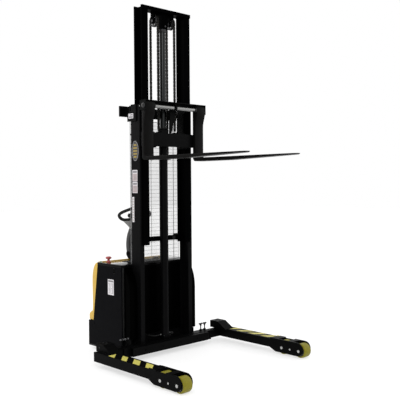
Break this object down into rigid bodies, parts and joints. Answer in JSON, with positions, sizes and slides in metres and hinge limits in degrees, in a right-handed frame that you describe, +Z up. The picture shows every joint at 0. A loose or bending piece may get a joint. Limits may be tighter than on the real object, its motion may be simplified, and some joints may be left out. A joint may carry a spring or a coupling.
{
  "type": "walkie straddle stacker",
  "caption": "Pedestrian electric straddle stacker: raised two-stage mast, adjustable forks on a shaft carriage, telescoping straddle legs, covered power unit and tiller.",
  "frame": {"origin": "on the floor under the middle of the bounding box, at rest", "axes": "+Z up, -Y the way the forks point, +X to the operator's left when facing the forks"},
  "size_m": [1.494, 1.863, 2.993],
  "materials": {
    "black_paint": "semi-gloss powder coat",
    "gloss_black": "gloss paint",
    "cover_black": "glossy moulded cover",
    "yellow_cover": "satin moulded cover",
    "polyurethane": "satin polyurethane tread on a steel core",
    "steel": "zinc plated",
    "dark_steel": "oiled dark steel",
    "chrome": "ground and polished",
    "grey_plastic": "fine textured moulding",
    "black_plastic": "fine textured moulding",
    "red_plastic": "gloss",
    "green_plastic": "gloss",
    "light_wire": "galvanised wire"
  },
  "bodies": {
    "chassis": {"base_frame": "black_paint", "front_beam": "black_paint", "left_outer_rail": "black_paint", "right_outer_rail": "black_paint", "outer_top_crossmember": "black_paint", "cylinder_barrel": "gloss_black", "mesh_guard": "light_wire", "side_housing": "black_paint", "front_cover": "cover_black", "top_cover": "cover_black", "rear_cover": "yellow_cover", "battery": "black_plastic", "pump_unit": "dark_steel", "controller_box": "steel", "estop_base": "red_plastic", "battery_gauge": "black_plastic"},
    "estop": {"estop_button": "red_plastic"},
    "key": {"key_switch": "steel"},
    "drive": {"drive_unit": "dark_steel", "steering_column": "black_paint"},
    "drive_wheel": {"drive_wheel": "polyurethane"},
    "tiller": {"tiller_arm": "black_plastic", "tiller_head": "grey_plastic", "grip_loop": "black_plastic"},
    "belly": {"belly_button": "red_plastic"},
    "lift_push": {"lift_button": "green_plastic"},
    "lower_push": {"lower_button": "black_plastic"},
    "inner_mast": {"left_inner_rail": "black_paint", "right_inner_rail": "black_paint", "inner_top_beam": "black_paint", "inner_lower_bar": "black_paint", "piston_rod": "chrome", "left_chain": "dark_steel", "right_chain": "dark_steel"},
    "carriage": {"carriage_frame": "black_paint", "fork_shaft": "chrome"},
    "left_sheave": {"left_sheave": "dark_steel"},
    "left_fork": {"left_fork": "black_paint"},
    "left_leg": {"left_leg": "black_paint"},
    "left_front_load_wheel": {"left_front_load_wheel": "polyurethane"},
    "left_rear_load_wheel": {"left_rear_load_wheel": "polyurethane"},
    "left_caster": {"left_caster_fork": "steel"},
    "left_caster_wheel": {"left_caster_wheel": "polyurethane"},
    "left_throttle": {"left_throttle": "black_plastic"},
    "left_lower_roller": {"left_lower_roller": "dark_steel"},
    "left_upper_roller": {"left_upper_roller": "dark_steel"},
    "left_inner_leg_knob": {"left_inner_leg_knob": "steel"},
    "left_outer_leg_knob": {"left_outer_leg_knob": "steel"},
    "right_sheave": {"right_sheave": "dark_steel"},
    "right_fork": {"right_fork": "black_paint"},
    "right_leg": {"right_leg": "black_paint"},
    "right_front_load_wheel": {"right_front_load_wheel": "polyurethane"},
    "right_rear_load_wheel": {"right_rear_load_wheel": "polyurethane"},
    "right_caster": {"right_caster_fork": "steel"},
    "right_caster_wheel": {"right_caster_wheel": "polyurethane"},
    "right_throttle": {"right_throttle": "black_plastic"},
    "right_lower_roller": {"right_lower_roller": "dark_steel"},
    "right_upper_roller": {"right_upper_roller": "dark_steel"},
    "right_inner_leg_knob": {"right_inner_leg_knob": "steel"},
    "right_outer_leg_knob": {"right_outer_leg_knob": "steel"}
  },
  "joints": [
    {"name": "mast_lift", "type": "slide", "parent": "chassis", "child": "inner_mast", "axis": [0, 0, 1], "range_m": [-0.81, 0.66], "deforming": ["left_chain", "right_chain"]},
    {"name": "carriage_lift", "type": "slide", "parent": "inner_mast", "child": "carriage", "axis": [0, 0, 1], "range_m": [-0.81, 0.66]},
    {"name": "steering", "type": "hinge", "parent": "chassis", "child": "drive", "pos_m": [0, 0.7615, 0.2103], "axis": [0, 0, 1], "range_deg": [-80, 80]},
    {"name": "drive_wheel_spin", "type": "hinge", "parent": "drive", "child": "drive_wheel", "pos_m": [0, 0.7615, 0.105], "axis": [1, 0, 0], "continuous": true},
    {"name": "tiller_tilt", "type": "hinge", "parent": "drive", "child": "tiller", "pos_m": [0, 0.8095, 0.835], "axis": [-1, 0, 0], "range_deg": [0, 75]},
    {"name": "belly_press", "type": "slide", "parent": "tiller", "child": "belly", "axis": [0, 0.2504, -0.9681], "range_m": [0, 0.004]},
    {"name": "lift_press", "type": "slide", "parent": "tiller", "child": "lift_push", "axis": [0, 0.9681, 0.2504], "range_m": [0, 0.002]},
    {"name": "lower_press", "type": "slide", "parent": "tiller", "child": "lower_push", "axis": [0, 0.9681, 0.2504], "range_m": [0, 0.002]},
    {"name": "estop_press", "type": "slide", "parent": "chassis", "child": "estop", "axis": [0, 0, -1], "range_m": [0, 0.004]},
    {"name": "key_turn", "type": "hinge", "parent": "chassis", "child": "key", "pos_m": [0.335, 0.6965, 0.7883], "axis": [0, 0, -1], "range_deg": [0, 60]},
    {"name": "left_sheave_spin", "type": "hinge", "parent": "inner_mast", "child": "left_sheave", "pos_m": [-0.093, 0.3415, 2.889], "axis": [1, 0, 0], "continuous": true},
    {"name": "left_fork_slide", "type": "slide", "parent": "carriage", "child": "left_fork", "axis": [1, 0, 0], "range_m": [0, 0.22]},
    {"name": "left_leg_slide", "type": "slide", "parent": "chassis", "child": "left_leg", "axis": [1, 0, 0], "range_m": [-0.03, 0.095]},
    {"name": "left_front_wheel_spin", "type": "hinge", "parent": "left_leg", "child": "left_front_load_wheel", "pos_m": [-0.6855, -0.653, 0.06], "axis": [1, 0, 0], "continuous": true},
    {"name": "left_rear_wheel_spin", "type": "hinge", "parent": "left_leg", "child": "left_rear_load_wheel", "pos_m": [-0.6855, -0.4705, 0.06], "axis": [1, 0, 0], "continuous": true},
    {"name": "left_caster_swivel", "type": "hinge", "parent": "chassis", "child": "left_caster", "pos_m": [-0.3, 0.8015, 0.1497], "axis": [0, 0, 1], "continuous": true},
    {"name": "left_caster_spin", "type": "hinge", "parent": "left_caster", "child": "left_caster_wheel", "pos_m": [-0.3, 0.8315, 0.05], "axis": [1, 0, 0], "continuous": true},
    {"name": "left_throttle_turn", "type": "hinge", "parent": "tiller", "child": "left_throttle", "pos_m": [-0.06, 0.75522, 1.19229], "axis": [1, 0, 0], "range_deg": [-25, 25]},
    {"name": "left_lower_roller_spin", "type": "hinge", "parent": "carriage", "child": "left_lower_roller", "pos_m": [-0.207, 0.3405, 1.84], "axis": [1, 0, 0], "continuous": true},
    {"name": "left_upper_roller_spin", "type": "hinge", "parent": "carriage", "child": "left_upper_roller", "pos_m": [-0.207, 0.3405, 2.11], "axis": [1, 0, 0], "continuous": true},
    {"name": "left_inner_knob_turn", "type": "hinge", "parent": "chassis", "child": "left_inner_leg_knob", "pos_m": [-0.43, 0.3315, 0.1183], "axis": [0, 0, 1], "continuous": true},
    {"name": "left_outer_knob_turn", "type": "hinge", "parent": "chassis", "child": "left_outer_leg_knob", "pos_m": [-0.48, 0.3315, 0.1183], "axis": [0, 0, 1], "continuous": true},
    {"name": "right_sheave_spin", "type": "hinge", "parent": "inner_mast", "child": "right_sheave", "pos_m": [0.093, 0.3415, 2.889], "axis": [1, 0, 0], "continuous": true},
    {"name": "right_fork_slide", "type": "slide", "parent": "carriage", "child": "right_fork", "axis": [-1, 0, 0], "range_m": [0, 0.22]},
    {"name": "right_leg_slide", "type": "slide", "parent": "chassis", "child": "right_leg", "axis": [-1, 0, 0], "range_m": [-0.03, 0.095]},
    {"name": "right_front_wheel_spin", "type": "hinge", "parent": "right_leg", "child": "right_front_load_wheel", "pos_m": [0.6855, -0.653, 0.06], "axis": [1, 0, 0], "continuous": true},
    {"name": "right_rear_wheel_spin", "type": "hinge", "parent": "right_leg", "child": "right_rear_load_wheel", "pos_m": [0.6855, -0.4705, 0.06], "axis": [1, 0, 0], "continuous": true},
    {"name": "right_caster_swivel", "type": "hinge", "parent": "chassis", "child": "right_caster", "pos_m": [0.3, 0.8015, 0.1497], "axis": [0, 0, 1], "continuous": true},
    {"name": "right_caster_spin", "type": "hinge", "parent": "right_caster", "child": "right_caster_wheel", "pos_m": [0.3, 0.8315, 0.05], "axis": [1, 0, 0], "continuous": true},
    {"name": "right_throttle_turn", "type": "hinge", "parent": "tiller", "child": "right_throttle", "pos_m": [0.06, 0.75522, 1.19229], "axis": [1, 0, 0], "range_deg": [-25, 25]},
    {"name": "right_lower_roller_spin", "type": "hinge", "parent": "carriage", "child": "right_lower_roller", "pos_m": [0.207, 0.3405, 1.84], "axis": [1, 0, 0], "continuous": true},
    {"name": "right_upper_roller_spin", "type": "hinge", "parent": "carriage", "child": "right_upper_roller", "pos_m": [0.207, 0.3405, 2.11], "axis": [1, 0, 0], "continuous": true},
    {"name": "right_inner_knob_turn", "type": "hinge", "parent": "chassis", "child": "right_inner_leg_knob", "pos_m": [0.43, 0.3315, 0.1183], "axis": [0, 0, 1], "continuous": true},
    {"name": "right_outer_knob_turn", "type": "hinge", "parent": "chassis", "child": "right_outer_leg_knob", "pos_m": [0.48, 0.3315, 0.1183], "axis": [0, 0, 1], "continuous": true}
  ],
  "couplings": [
    {"joint": "carriage_lift", "follows": "mast_lift", "ratio": 1},
    {"joint": "left_sheave_spin", "follows": "mast_lift", "rad_per_m": -20},
    {"joint": "right_sheave_spin", "follows": "mast_lift", "rad_per_m": -20},
    {"joint": "right_throttle_turn", "follows": "left_throttle_turn", "ratio": 1}
  ]
}
